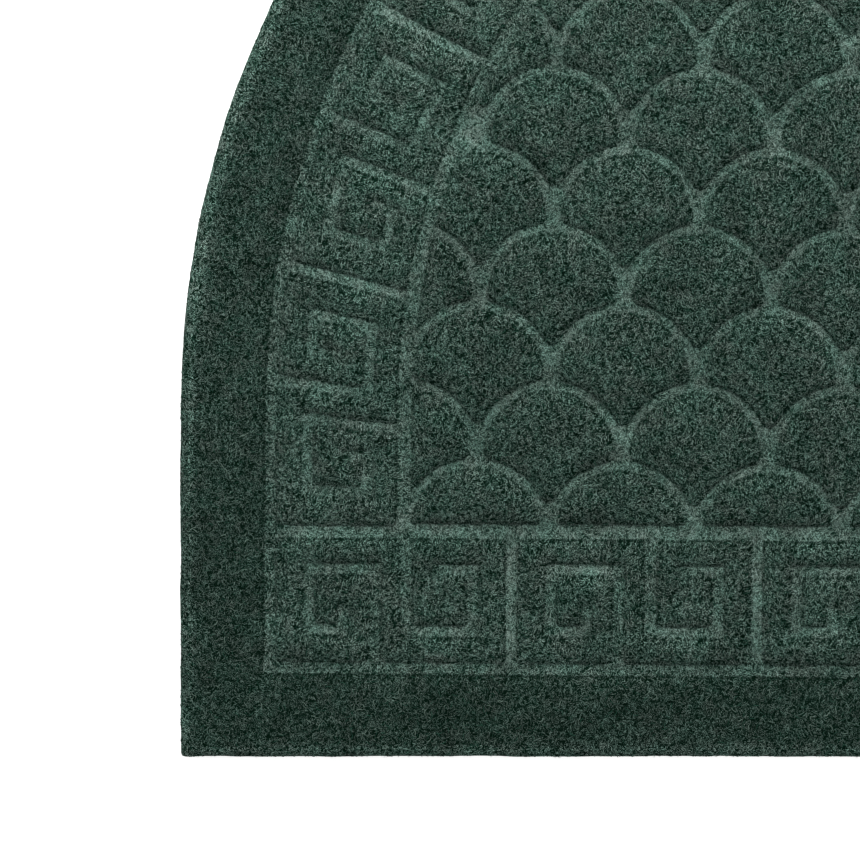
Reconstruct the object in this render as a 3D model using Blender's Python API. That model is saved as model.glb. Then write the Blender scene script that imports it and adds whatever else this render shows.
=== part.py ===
"""A half-round doormat of needle-punched felt, with its pattern pressed into the top.

The mat lies flat on Z = 0, with its straight edge towards -Y and the origin under the middle
of its box. A hot plate has pressed lines into the felt: two frame lines with a Greek key
between them, and fish scales inside. What stays standing between the lines are the lands.
Each land is a closed outline, drawn at the top of the felt and again, a little wider, at the
bottom of the pressed lines. One triangulation over all these outlines makes the top face.
"""

import math

import bmesh
import bpy
from mathutils import Matrix, Vector
from mathutils.geometry import delaunay_2d_cdt

MM = 0.001

# Outline: a half circle on a short straight stretch
ARCH_RADIUS = 300 * MM
STRAIGHT_SIDE = 109 * MM
ARCH_STEPS = 64

# Felt, and the pressed lines in it
THICKNESS = 6.0 * MM
PRESS_DEPTH = 2.5 * MM
WALL_RUN = 0.8 * MM
OUTER_LINE = 4.0 * MM
INNER_LINE = 4.9 * MM
KEY_LINE = 3.8 * MM

# Felt at the cut edge: how far in, and how far below the top of the felt
RIM = (
    {"inset": 0.0 * MM, "drop": 1.3 * MM},
    {"inset": 0.8 * MM, "drop": 0.5 * MM},
    {"inset": 3.6 * MM, "drop": 0.0 * MM},
)

# Frame lines, by their middles. The plate lay a little askew when it pressed the felt.
OUTER_LINE_RADIUS = 271.5 * MM
INNER_LINE_RADIUS = 229.5 * MM
OUTER_LINE_FROM_EDGE = 25.95 * MM
INNER_LINE_FROM_EDGE = 69.1 * MM
PLATE_TURN = math.radians(-0.42)

# Units of the key: lengths along the straight band, and where they part around the arch
STRAIGHT_UNITS = [length * MM for length in (76.0, 77.4, 79.1, 79.0, 79.1, 77.4, 76.0)]
ARCH_PARTINGS = (
    {"outer_deg": 9.3, "inner_deg": 8.4},
    {"outer_deg": 27.65, "inner_deg": 27.65},
)
TOP_UNITS = 7

# One pressed line of the key, in shares of its unit, from the band's outer line to its tip.
# Its mate is the same line turned half round about the middle of the unit.
KEY = (
    {"along": 0.435, "across": 0.000},
    {"along": 0.435, "across": 0.727},
    {"along": 0.159, "across": 0.727},
    {"along": 0.159, "across": 0.280},
    {"along": 0.305, "across": 0.280},
    {"along": 0.305, "across": 0.470},
)
LONGEST_KEY_EDGE = 24 * MM

# Fish scales. Their rows are turned a little against the frame lines.
SCALE_PITCH = 46.05 * MM
ROW_PITCH = 24.87 * MM
SCALES_TURN = math.radians(-0.68)
SCALES_SHIFT = 0.5 * MM
HEAD_RADIUS = 20.3 * MM
SCALE_LINE = 3.6 * MM
SHOULDER_RADIUS = 2.4 * MM
TIP_RADIUS = 2.4 * MM
TAIL_STEPS = 3
HEAD_STEPS = 5
FIRST_HEAD_FROM_ARCH_CENTRE = -43.0 * MM
CLIPPED_CORNER = 2.4 * MM
MOST_OF_A_SIDE = 0.45
SHARP_TURN = math.radians(62)
LEAST_SIDE = 0.4 * MM
SMALLEST_LAND = 60 * MM * MM

SAME_POINT = 1e-7

FELT_GREEN = (0.018, 0.036, 0.028, 1.0)

DEPTH = ARCH_RADIUS + STRAIGHT_SIDE
BOTTOM = -DEPTH / 2
CENTRE = Vector((0, BOTTOM + STRAIGHT_SIDE))
PRESSED = THICKNESS - PRESS_DEPTH


def arc(centre, radius, start, end, steps):
    """Points along an arc, both ends included, from one angle to the other."""
    angles = [start + (end - start) * i / steps for i in range(steps + 1)]
    return [centre + radius * Vector((math.cos(a), math.sin(a))) for a in angles]


def angle_from(centre, point):
    return math.atan2(point.y - centre.y, point.x - centre.x)


def ring_edges(ring):
    return list(zip(ring, ring[1:] + ring[:1]))


def ring_area(ring):
    return sum(p.cross(q) for p, q in ring_edges(ring)) / 2


def grown(ring, distance):
    """The ring with each side moved outwards by the same distance."""
    moved = []
    for before, point, after in zip(ring[-1:] + ring[:-1], ring, ring[1:] + ring[:1]):
        first = (point - before).normalized()
        second = (after - point).normalized()
        outwards = Vector((first.y + second.y, -first.x - second.x))
        moved.append(point + outwards * (distance / (1 + first.dot(second))))
    return moved


def thinned(ring, least):
    """The ring without points that lie closer than this to the one before."""
    return [q for p, q in ring_edges(ring) if (q - p).length > least]


def eased(ring, radius, sharp_turn):
    """The ring with each corner that turns more sharply than this cut off to a blunt one."""
    points = []
    for before, point, after in zip(ring[-1:] + ring[:-1], ring, ring[1:] + ring[:1]):
        back = before - point
        on = after - point
        if math.pi - back.angle(on) < sharp_turn:
            points.append(point)
            continue
        cut = min(radius, MOST_OF_A_SIDE * back.length, MOST_OF_A_SIDE * on.length)
        points += [point + back.normalized() * cut, point + on.normalized() * cut]
    return points


def clipped(ring, region):
    """The part of the ring inside a convex region."""
    for start, end in ring_edges(region):
        kept = []
        for p, q in ring_edges(ring):
            p_side = (end - start).cross(p - start)
            q_side = (end - start).cross(q - start)
            if p_side >= 0:
                kept.append(p)
            if (p_side >= 0) != (q_side >= 0):
                kept.append(p.lerp(q, p_side / (p_side - q_side)))
        ring = kept
    return ring


def half_round(radius, from_edge):
    """The mat's own form at this radius, its straight side this far in from the cut edge."""
    bottom = BOTTOM + from_edge
    corners = [Vector((-radius, bottom)), Vector((radius, bottom))]
    return corners + arc(CENTRE, radius, 0, math.pi, ARCH_STEPS)


def beside(line, offset):
    """The line moved to its left by this offset, its corners kept square."""
    moved = []
    for i, point in enumerate(line):
        before = (point - line[i - 1]).normalized() if i else None
        after = (line[i + 1] - point).normalized() if i + 1 < len(line) else before
        before = before or after
        left = Vector((-before.y - after.y, before.x + after.x))
        moved.append(point + left * (offset / (1 + before.dot(after))))
    return moved


def key_slit(length, width, hanging):
    """Both sides of one pressed line of the key, up its left side and back down its right."""
    line = [Vector((k["along"] * length, k["across"] * width)) for k in KEY]
    line[0].y = (INNER_LINE if hanging else OUTER_LINE) / 2
    if hanging:
        line = [Vector((length, width)) - point for point in line]
    return beside(line, KEY_LINE / 2) + beside(line, -KEY_LINE / 2)[::-1]


def key_land(length, width):
    """The land of one unit, drawn flat: a box entered by the two lines of the key."""
    x, low, high = KEY_LINE / 2, OUTER_LINE / 2, width - INNER_LINE / 2
    ring = [Vector((x, low)), *key_slit(length, width, False), Vector((length - x, low))]
    ring += [Vector((length - x, high)), *key_slit(length, width, True), Vector((x, high))]
    points = []
    for p, q in ring_edges(ring):
        pieces = math.ceil((q - p).length / LONGEST_KEY_EDGE)
        points += [p.lerp(q, i / pieces) for i in range(pieces)]
    return points


def straight_band_lands():
    """The key's lands along the straight edge."""
    width = INNER_LINE_FROM_EDGE - OUTER_LINE_FROM_EDGE
    corner = Vector((-OUTER_LINE_RADIUS, BOTTOM + OUTER_LINE_FROM_EDGE))
    lands = []
    for length in STRAIGHT_UNITS:
        lands.append([corner + point for point in key_land(length, width)])
        corner = corner + Vector((length, 0))
    return lands


def on_line(radius, travel):
    """A point of a frame line: up the right side, over the arch and down the left side."""
    half_turn = math.pi * radius
    if travel < 0:
        return CENTRE + Vector((radius, travel))
    if travel > half_turn:
        return CENTRE + Vector((-radius, half_turn - travel))
    return CENTRE + radius * Vector((math.cos(travel / radius), math.sin(travel / radius)))


def partings(radius, column):
    """How far along a frame line each parting of the arch band lies."""
    low = [math.radians(row[column]) for row in ARCH_PARTINGS]
    top_span = math.pi - 2 * low[-1]
    top = [low[-1] + top_span * i / TOP_UNITS for i in range(1, TOP_UNITS)]
    high = [math.pi - angle for angle in reversed(low)]
    below_centre = INNER_LINE_FROM_EDGE - STRAIGHT_SIDE
    around = [radius * angle for angle in low + top + high]
    return [below_centre, *around, math.pi * radius - below_centre]


def arch_band_lands():
    """The key's lands around the arch. Both frame lines are shared out by their own length."""
    outer = partings(OUTER_LINE_RADIUS, "outer_deg")
    inner = partings(INNER_LINE_RADIUS, "inner_deg")
    width = OUTER_LINE_RADIUS - INNER_LINE_RADIUS
    lands = []
    for i in range(len(outer) - 1):
        length = (outer[i + 1] - outer[i] + inner[i + 1] - inner[i]) / 2
        land = []
        for point in key_land(length, width):
            share = point.x / length
            outside = on_line(OUTER_LINE_RADIUS, outer[i] + share * (outer[i + 1] - outer[i]))
            inside = on_line(INNER_LINE_RADIUS, inner[i] + share * (inner[i + 1] - inner[i]))
            land.append(outside.lerp(inside, point.y / width))
        lands.append(land)
    return lands


def turned(ring, angle):
    """The ring turned about the arch's centre."""
    turn = Matrix.Rotation(angle, 2)
    return [CENTRE + turn @ (point - CENTRE) for point in ring]


def scale_outline():
    """One fish scale about its head's centre, cut below by the heads of two scales.

    Every arc runs into the next one smoothly: head, shoulder, tail, tip, tail and shoulder.
    """
    head = Vector((0, 0))
    below = Vector((SCALE_PITCH / 2, -ROW_PITCH))
    cut_radius = HEAD_RADIUS + SCALE_LINE
    # The shoulder's centre is as far from both arcs as its own radius
    to_head = HEAD_RADIUS - SHOULDER_RADIUS
    to_below = cut_radius + SHOULDER_RADIUS
    reach = below.length
    opening = math.acos((to_head**2 + reach**2 - to_below**2) / (2 * to_head * reach))
    shoulder_angle = angle_from(head, below) + opening
    shoulder = head + to_head * Vector((math.cos(shoulder_angle), math.sin(shoulder_angle)))
    tip_height = math.sqrt((cut_radius + TIP_RADIUS) ** 2 - below.x**2)
    tip = Vector((0, below.y + tip_height))
    seen_from_below = angle_from(below, shoulder), angle_from(below, tip)
    right = arc(below, cut_radius, seen_from_below[1], seen_from_below[0], TAIL_STEPS)
    right += arc(head, HEAD_RADIUS, shoulder_angle, math.pi / 2, HEAD_STEPS)
    left = [Vector((-point.x, point.y)) for point in reversed(right[:-1])]
    return right + left


def scale_lands():
    """The fish scales, clipped by the inner frame line. Slivers are pressed flat."""
    field = half_round(INNER_LINE_RADIUS - INNER_LINE / 2, INNER_LINE_FROM_EDGE + INNER_LINE / 2)
    outline = scale_outline()
    rows = math.ceil((INNER_LINE_RADIUS - FIRST_HEAD_FROM_ARCH_CENTRE) / ROW_PITCH)
    columns = math.ceil(INNER_LINE_RADIUS / SCALE_PITCH) + 1
    lands = []
    for row in range(rows):
        height = CENTRE.y + FIRST_HEAD_FROM_ARCH_CENTRE + row * ROW_PITCH
        shift = SCALES_SHIFT + (SCALE_PITCH / 2 if row % 2 == 0 else 0)
        for column in range(-columns, columns):
            head = Vector((column * SCALE_PITCH + shift, height))
            scale = turned([head + point for point in outline], SCALES_TURN)
            land = thinned(clipped(scale, field), LEAST_SIDE)
            if len(land) > 2 and ring_area(land) > SMALLEST_LAND:
                lands.append(eased(land, CLIPPED_CORNER, SHARP_TURN))
    return lands


def outlines():
    """Every outline of the top face, with its height. The mat's own outline comes first."""
    found = []
    for row in RIM:
        ring = half_round(ARCH_RADIUS - row["inset"], row["inset"])
        found.append((ring, THICKNESS - row["drop"]))
    frame_edge = half_round(
        OUTER_LINE_RADIUS + OUTER_LINE / 2, OUTER_LINE_FROM_EDGE - OUTER_LINE / 2
    )
    found.append((turned(frame_edge, PLATE_TURN), THICKNESS))
    found.append((turned(grown(frame_edge, -WALL_RUN), PLATE_TURN), PRESSED))
    for land in straight_band_lands() + arch_band_lands() + scale_lands():
        found.append((turned(land, PLATE_TURN), THICKNESS))
        found.append((turned(grown(land, WALL_RUN), PLATE_TURN), PRESSED))
    return found


def top_face(mesh):
    """Triangulates the outlines, gives each point its height, and returns the top's faces."""
    points, heights, sides = [], [], []
    rings = outlines()
    for ring, height in rings:
        first = len(points)
        points += ring
        heights += [height] * len(ring)
        sides += [(first + i, first + (i + 1) % len(ring)) for i in range(len(ring))]
    border = list(range(len(rings[0][0])))
    cut_to_border = 1
    flat, _, triangles, sources, _, _ = delaunay_2d_cdt(
        points, sides, [border], cut_to_border, SAME_POINT
    )
    for place, source in zip(flat, sources):
        height = heights[source[0]] if source else PRESSED
        mesh.verts.new((place.x, place.y, height))
    mesh.verts.ensure_lookup_table()
    return [mesh.faces.new([mesh.verts[i] for i in triangle]) for triangle in triangles]


def felt():
    """Needle-punched polyester felt, dyed dark green."""
    material = bpy.data.materials.new("needle-punched felt")
    material.use_nodes = True
    shader = material.node_tree.nodes["Principled BSDF"]
    shader.inputs["Base Color"].default_value = FELT_GREEN
    shader.inputs["Roughness"].default_value = 0.95
    shader.inputs["Metallic"].default_value = 0.0
    return material


def mat():
    """The mat: the pressed top, the cut edge straight down from it, and a flat underside."""
    mesh = bmesh.new()
    top_face(mesh)
    edge = [e for e in mesh.edges if e.is_boundary]
    cut = bmesh.ops.extrude_edge_only(mesh, edges=edge)["geom"]
    for vert in cut:
        if isinstance(vert, bmesh.types.BMVert):
            vert.co.z = 0
    bmesh.ops.holes_fill(mesh, edges=[e for e in mesh.edges if e.is_boundary], sides=0)
    bmesh.ops.recalc_face_normals(mesh, faces=mesh.faces)
    data = bpy.data.meshes.new("mat")
    mesh.to_mesh(data)
    mesh.free()
    data.materials.append(felt())
    piece = bpy.data.objects.new("mat", data)
    bpy.context.scene.collection.objects.link(piece)
    return piece


for old in list(bpy.data.objects):
    bpy.data.objects.remove(old)
mat()
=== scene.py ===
import math

import bpy
import numpy as np
from mathutils import Matrix, Vector, noise
from mathutils.geometry import delaunay_2d_cdt


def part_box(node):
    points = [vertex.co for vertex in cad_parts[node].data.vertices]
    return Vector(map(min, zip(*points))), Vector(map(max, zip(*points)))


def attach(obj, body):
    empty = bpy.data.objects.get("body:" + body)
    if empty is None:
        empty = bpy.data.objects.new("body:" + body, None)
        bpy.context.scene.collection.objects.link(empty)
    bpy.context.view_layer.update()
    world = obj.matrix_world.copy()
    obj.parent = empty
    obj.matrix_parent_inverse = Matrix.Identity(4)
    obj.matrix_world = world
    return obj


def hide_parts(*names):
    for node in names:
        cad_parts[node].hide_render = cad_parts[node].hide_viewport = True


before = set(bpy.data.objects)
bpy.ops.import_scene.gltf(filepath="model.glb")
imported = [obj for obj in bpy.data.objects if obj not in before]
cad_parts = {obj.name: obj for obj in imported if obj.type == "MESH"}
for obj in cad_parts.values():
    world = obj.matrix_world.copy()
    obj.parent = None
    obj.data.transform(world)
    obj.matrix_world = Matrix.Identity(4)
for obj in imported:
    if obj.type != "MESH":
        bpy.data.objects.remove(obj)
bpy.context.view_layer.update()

# Camera. It looks straight down onto the lower left part of the mat, as a product is shown
# lying on white. The mat runs out of the picture at the top and at the right.
MM = 0.001
PICTURE_WIDTH = 270.2 * MM
PICTURE_CENTRE = Vector((-221.5 * MM, -101.8 * MM))
LENS = 110.0
SENSOR = 36.0

mat_low, mat_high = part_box("mat")
camera = bpy.data.objects.new("camera", bpy.data.cameras.new("camera"))
camera.data.lens = LENS
camera.data.sensor_width = SENSOR
camera.location = (*PICTURE_CENTRE, mat_high.z + PICTURE_WIDTH * LENS / SENSOR)
bpy.context.scene.collection.objects.link(camera)
bpy.context.scene.camera = camera


# Studio light. One wide softbox hangs above the arch, so that the felt grows darker towards its
# straight edge. White walls all round fill in the rest.
SOFTBOX = {"place": (-0.20, 0.62, 0.50), "width": 0.9, "height": 0.3, "watts": 8.75}
SOFTBOX_AIM = (-0.17, 0.05, 0)
WALL_GLOW = 0.39


def linear(code):
    """The linear colour of an sRGB hex code."""
    parts = [int(code[i : i + 2], 16) / 255 for i in (1, 3, 5)]
    return [p / 12.92 if p <= 0.04045 else ((p + 0.055) / 1.055) ** 2.4 for p in parts] + [1.0]


def soft_light(name, place, target, width, height, watts):
    """An oblong of light that faces its target. It is kept out of every picture."""
    lamp = bpy.data.lights.new(name, "AREA")
    lamp.shape = "RECTANGLE"
    lamp.size = width
    lamp.size_y = height
    lamp.energy = watts
    light = bpy.data.objects.new(name, lamp)
    light.location = place
    light.rotation_euler = (Vector(target) - Vector(place)).to_track_quat("-Z", "Y").to_euler()
    light.visible_camera = False
    bpy.context.scene.collection.objects.link(light)


soft_light("softbox", target=SOFTBOX_AIM, **SOFTBOX)

bpy.context.scene.view_settings.view_transform = "Standard"
room = bpy.data.worlds.new("white room")
room.use_nodes = True
room.node_tree.nodes["Background"].inputs["Color"].default_value = linear("#FFFFFF")
room.node_tree.nodes["Background"].inputs["Strength"].default_value = WALL_GLOW
bpy.context.scene.world = room


# Floor. A light table: a sheet of white acrylic lit from below, on which the mat has no shadow.
FLOOR_SIDE = 8.0
FLOOR_GLOW = 0.75
FLOOR_BELOW_MAT = 0.4 * MM


def add(tree, kind, links=None, values=None, **settings):
    """Adds a node, sets its settings and input values, and links its inputs by name or number."""
    node = tree.nodes.new(kind)
    for name, value in settings.items():
        setattr(node, name, value)
    for name, value in (values or {}).items():
        node.inputs[name].default_value = value
    for name, source in (links or {}).items():
        tree.links.new(source, node.inputs[name])
    return node


def principled(name, colour, roughness, **values):
    """A material with these values on its Principled shader's own inputs, and the shader."""
    material = bpy.data.materials.new(name)
    material.use_nodes = True
    shader = material.node_tree.nodes["Principled BSDF"]
    shader.inputs["Base Color"].default_value = linear(colour)
    shader.inputs["Roughness"].default_value = roughness
    for socket, value in values.items():
        shader.inputs[socket.replace("_", " ")].default_value = value
    return material, shader


half = FLOOR_SIDE / 2
floor_mesh = bpy.data.meshes.new("floor")
corners = [(-half, -half, 0), (half, -half, 0), (half, half, 0), (-half, half, 0)]
floor_mesh.from_pydata(corners, [], [(0, 1, 2, 3)])
acrylic, acrylic_shader = principled("white acrylic", "#F7F7F5", 0.6, IOR=1.49)
acrylic_shader.inputs["Emission Color"].default_value = linear("#FFFFFF")
acrylic_shader.inputs["Emission Strength"].default_value = FLOOR_GLOW
floor_mesh.materials.append(acrylic)
floor = bpy.data.objects.new("floor", floor_mesh)
floor.location.z = -FLOOR_BELOW_MAT
bpy.context.scene.collection.objects.link(floor)


# Felt mat. One sheet of needle-punched polyester felt, cut to a half-round outline. A hot plate
# has pressed its pattern into the top: two frame lines with a Greek key between them, and fish
# scales inside. What stays standing between the lines are the lands, with soft shoulders.
DEPTH = mat_high.y - mat_low.y
ARCH_RADIUS = (mat_high.x - mat_low.x) / 2
BOTTOM = mat_low.y
CENTRE = Vector((0, mat_high.y - ARCH_RADIUS))
STRAIGHT_SIDE = CENTRE.y - BOTTOM
THICKNESS = mat_high.z
PRESSED = THICKNESS - 2.0 * MM
HALF_PRESSED = THICKNESS - 1.6 * MM

OUTER_LINE = 4.0 * MM
INNER_LINE = 4.9 * MM
KEY_LINE = 3.8 * MM
OUTER_LINE_RADIUS = 271.5 * MM
INNER_LINE_RADIUS = 229.5 * MM
OUTER_LINE_FROM_EDGE = 25.95 * MM
INNER_LINE_FROM_EDGE = 69.1 * MM
PLATE_TURN = math.radians(-0.42)

STRAIGHT_UNITS = [length * MM for length in (76.0, 77.4, 79.1, 79.0, 79.1, 77.4, 76.0)]
ARCH_PARTINGS = (
    {"outer_deg": 9.3, "inner_deg": 8.4},
    {"outer_deg": 27.65, "inner_deg": 27.65},
)
TOP_UNITS = 7
KEY = (
    {"along": 0.435, "across": 0.000},
    {"along": 0.435, "across": 0.727},
    {"along": 0.159, "across": 0.727},
    {"along": 0.159, "across": 0.280},
    {"along": 0.305, "across": 0.280},
    {"along": 0.305, "across": 0.470},
)
# How hard the plate has pressed each side of the key's line, from the band's outer line inwards,
# which also sets how pale its floor is. Along the straight edge this is partly painted light: the
# crosswise sides are given more and the upright ones less, for how light falls on them.
STRAIGHT_PRESS_AND_LIGHT = (0.10, 0.95, 0.45, 0.85, 0.30)
ARCH_PRESS = (0.55, 0.45, 0.55, 0.30, 0.15)
# The same for the frame lines, along the straight edge and then round the arch, and for the scales
OUTER_PRESS = (0.60, 0.27)
INNER_PRESS = (0.95, 0.47)
SCALES_PRESS = 0.84

SCALE_PITCH = 46.05 * MM
ROW_PITCH = 24.87 * MM
SCALES_TURN = math.radians(-0.68)
SCALES_SHIFT = 0.5 * MM
HEAD_RADIUS = 20.6 * MM
SCALE_LINE = 3.3 * MM
SHOULDER_RADIUS = 2.4 * MM
TIP_RADIUS = 2.4 * MM
FIRST_HEAD_FROM_ARCH_CENTRE = -43.0 * MM
SMALLEST_LAND = 60 * MM * MM
SCALES_ABOVE_LINE = 0.25 * MM

# How finely the felt is drawn
SIDE_LENGTH = 2.5 * MM
EDGE_SIDE_LENGTH = 1.8 * MM
GRID_PITCH = 2.7 * MM
NEAR_LAND = 4 * MM
CLEAR_OF_RIM = 0.5 * GRID_PITCH
CLEAR_OF_SHOULDER = 0.3 * GRID_PITCH
CLEAR_OF_WALL = 0.4 * GRID_PITCH
TIP_SIDE_LENGTH = 0.7 * MM
SHOULDER_SIDE_LENGTH = 1.2 * MM
LEAST_SIDE = 0.4 * MM
SHARP_TURN = math.radians(33)
LAND_CORNER = 1.5 * MM
HOLLOW_CORNER = 1.35 * MM

# The wall of a pressed line, from the land's edge outwards: how far down it is, as a share of
# the way to the floor, how pressed its fibres are, its tone, and how much it takes of the painted
# shade's unevenness. Its tone paints shade into the crease along it, deeper here and shallower there.
WALL = (
    {"out": -0.15 * MM, "down": 0.00, "pressed": 0.00, "tone": 0.80, "ragged_painted_shade": 1.0},
    {"out": 0.10 * MM, "down": 0.55, "pressed": 0.45, "tone": 0.78, "ragged_painted_shade": 0.8},
    {"out": 0.35 * MM, "down": 0.92, "pressed": 0.90, "tone": 0.92, "ragged_painted_shade": 0.6},
    {"out": 0.70 * MM, "down": 1.00, "pressed": 1.00, "tone": 1.07, "ragged_painted_shade": 0.0},
)
RAGGED = 0.35
RAGGED_PITCH = 5 * MM
# Painted shade and light: walls that face the arch are painted darker by this share, and those
# that face away from it lighter, for how light falls on them
PAINTED_WALL_SHADE = 0.33
# How hard the plate has pressed on the whole, and how unevenly
EVEN = 0.92
UNEVEN = 0.40
UNEVEN_PITCH = 8 * MM
# From how near to how far a weakly pressed line still lifts the felt beside its middle
KEY_LIFT = (1.1 * MM, 3.3 * MM)
FRAME_LIFT = (2 * MM, 4 * MM)
# How far inside the frame the scales' own press starts, and where the arch's takes over
SCALES_INSIDE = 3.5 * MM
CORNER_FADE = (3 * MM, 12 * MM)
# How far from any land a floor is wide enough to be pressed fully
WIDE_FLOOR = (2.3 * MM, 3.3 * MM)
# Painted shade: a narrow dark crease painted along the outside of both frame lines
PAINTED_CREASE_SHADE = 0.45
PAINTED_CREASE_WIDTH = 0.5 * MM
# How a land falls off towards its edge: by how much at the edge, and how far in it can be felt
SHOULDER_DROP = 1.45 * MM
SHOULDER_RUN = 3.20 * MM
SHOULDER_INSETS = (0.80 * MM, 2.00 * MM)
# A point moved inwards is kept if it is at least this share of the way from every edge
KEPT_SHARE = 0.93
RIM_KEPT_SHARE = 0.97
# The rim, from the cut edge inwards. Along the arch a light line runs 3 to 4 mm in from the edge.
RIM_DROP = 1.3 * MM
RIM_RUN = 0.9 * MM
RIM = (
    {"inset": 0.00 * MM, "tone": 2.10, "line": -0.2},
    {"inset": 0.35 * MM, "tone": 2.10, "line": -0.2},
    {"inset": 0.90 * MM, "tone": 2.10, "line": -0.2},
    {"inset": 1.90 * MM, "tone": 2.05, "line": -0.4},
    {"inset": 2.50 * MM, "tone": 1.95, "line": -0.1},
    {"inset": 3.00 * MM, "tone": 1.75, "line": 0.75},
    {"inset": 3.50 * MM, "tone": 1.35, "line": 0.45},
    {"inset": 4.30 * MM, "tone": 1.12, "line": 0.35},
    {"inset": 5.50 * MM, "tone": 1.00, "line": 0.10},
)
RIM_LINE_FADE = (12 * MM, 20 * MM)
# The cut edge from the top down: how far it stands proud, since a blade crushes the felt a little
CUT_EDGE = (
    {"height": 4.10 * MM, "out": 0.05 * MM},
    {"height": 2.90 * MM, "out": 0.10 * MM},
    {"height": 1.60 * MM, "out": 0.02 * MM},
    {"height": 0.50 * MM, "out": -0.10 * MM},
    {"height": 0.00 * MM, "out": -0.45 * MM},
)
# Zones of the felt, by number: the margin outside the key, the key, the scales, the cut edge and
# the underside. The margin is given a darker tone than the rest.
MARGIN, KEY_BAND, SCALES, EDGE, UNDERSIDE = range(5)
ZONE_TONES = (0.57, 0.86, 0.75, 1.0, 0.8)
# Painted shade: the margin is painted darker towards the straight edge, down to this share at the cut
# edge and fading out over this rise, for the light's fall-off away from the softbox
STRAIGHT_MARGIN_PAINTED_SHADE = 0.80
STRAIGHT_MARGIN_SHADE_FADE = (20 * MM, 150 * MM)


def arc(centre, radius, start, end, longest):
    """Points along an arc, both ends included, none further apart than this."""
    steps = max(2, math.ceil(abs(end - start) * radius / longest))
    angles = [start + (end - start) * i / steps for i in range(steps + 1)]
    return [centre + radius * Vector((math.cos(a), math.sin(a))) for a in angles]


def angle_from(centre, point):
    return math.atan2(point.y - centre.y, point.x - centre.x)


def ring_edges(ring):
    return list(zip(ring, ring[1:] + ring[:1]))


def ring_area(ring):
    return sum(p.cross(q) for p, q in ring_edges(ring)) / 2


def grown(ring, distance):
    """The ring with each side moved outwards by the same distance."""
    moved = []
    for before, point, after in zip(ring[-1:] + ring[:-1], ring, ring[1:] + ring[:1]):
        first = (point - before).normalized()
        second = (after - point).normalized()
        outwards = Vector((first.y + second.y, -first.x - second.x))
        moved.append(point + outwards * (distance / (1 + first.dot(second))))
    return moved


def thinned(ring, least):
    """The ring without points that lie closer than this to the one before."""
    return [q for p, q in ring_edges(ring) if (q - p).length > least]


def divided(ring, longest):
    """The ring with points added so that no side is longer than this."""
    points = []
    for p, q in ring_edges(ring):
        pieces = math.ceil((q - p).length / longest)
        points += [p.lerp(q, i / pieces) for i in range(pieces)]
    return points


def rounded(ring):
    """The ring with its sharp corners worn round, as felt takes them from the plate."""
    points = []
    for before, point, after in zip(ring[-1:] + ring[:-1], ring, ring[1:] + ring[:1]):
        back = before - point
        on = after - point
        turn = math.atan2((-back).cross(on), (-back).dot(on))
        if abs(turn) < SHARP_TURN:
            points.append(point)
            continue
        reach = LAND_CORNER if turn > 0 else HOLLOW_CORNER
        reach = min(reach, 0.48 * back.length, 0.48 * on.length)
        start = point + back.normalized() * reach
        end = point + on.normalized() * reach
        for share in (0, 1 / 3, 2 / 3, 1):
            points.append(start.lerp(point, share).lerp(point.lerp(end, share), share))
    return thinned(points, 0.1 * MM)


def clipped(ring, region):
    """The part of the ring inside a convex region."""
    for start, end in ring_edges(region):
        kept = []
        for p, q in ring_edges(ring):
            p_side = (end - start).cross(p - start)
            q_side = (end - start).cross(q - start)
            if p_side >= 0:
                kept.append(p)
            if (p_side >= 0) != (q_side >= 0):
                kept.append(p.lerp(q, p_side / (p_side - q_side)))
        ring = kept
    return ring


def half_round(radius, from_edge, longest=5 * MM):
    """The mat's own form at this radius, its straight side this far in from the cut edge."""
    bottom = BOTTOM + from_edge
    corners = [Vector((-radius, bottom)), Vector((radius, bottom))]
    return corners + arc(CENTRE, radius, 0, math.pi, longest)


def turned(ring, angle):
    """The ring turned about the arch's centre."""
    turn = Matrix.Rotation(angle, 2)
    return [CENTRE + turn @ (point - CENTRE) for point in ring]


def beside(line, offset):
    """The line moved to its left by this offset, its corners kept square."""
    moved = []
    for i, point in enumerate(line):
        before = (point - line[i - 1]).normalized() if i else None
        after = (line[i + 1] - point).normalized() if i + 1 < len(line) else before
        before = before or after
        left = Vector((-before.y - after.y, before.x + after.x))
        moved.append(point + left * (offset / (1 + before.dot(after))))
    return moved


def key_lines(length, width):
    """The middles of the two pressed lines of one unit: one rises, and its mate hangs."""
    rising = [Vector((k["along"] * length, k["across"] * width)) for k in KEY]
    hanging = [Vector((length, width)) - point for point in rising]
    rising[0].y = OUTER_LINE / 2
    hanging[0].y = width - INNER_LINE / 2
    return [rising, hanging]


def key_lands(length, width):
    """The land of one unit, drawn flat: a box entered by the two lines of the key."""
    x, low, high = KEY_LINE / 2, OUTER_LINE / 2, width - INNER_LINE / 2
    slits = [
        beside(line, KEY_LINE / 2) + beside(line, -KEY_LINE / 2)[::-1]
        for line in key_lines(length, width)
    ]
    ring = [Vector((x, low)), *slits[0], Vector((length - x, low))]
    ring += [Vector((length - x, high)), *slits[1], Vector((x, high))]
    return [divided(rounded(ring), SIDE_LENGTH)]


def straight_band(drawing):
    """What this function draws for each unit, placed along the straight edge."""
    width = INNER_LINE_FROM_EDGE - OUTER_LINE_FROM_EDGE
    corner = Vector((-OUTER_LINE_RADIUS, BOTTOM + OUTER_LINE_FROM_EDGE))
    drawn = []
    for length in STRAIGHT_UNITS:
        drawn += [[corner + point for point in line] for line in drawing(length, width)]
        corner = corner + Vector((length, 0))
    return drawn


def on_line(radius, travel):
    """A point of a frame line: up the right side, over the arch and down the left side."""
    half_turn = math.pi * radius
    if travel < 0:
        return CENTRE + Vector((radius, travel))
    if travel > half_turn:
        return CENTRE + Vector((-radius, half_turn - travel))
    return CENTRE + radius * Vector((math.cos(travel / radius), math.sin(travel / radius)))


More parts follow.
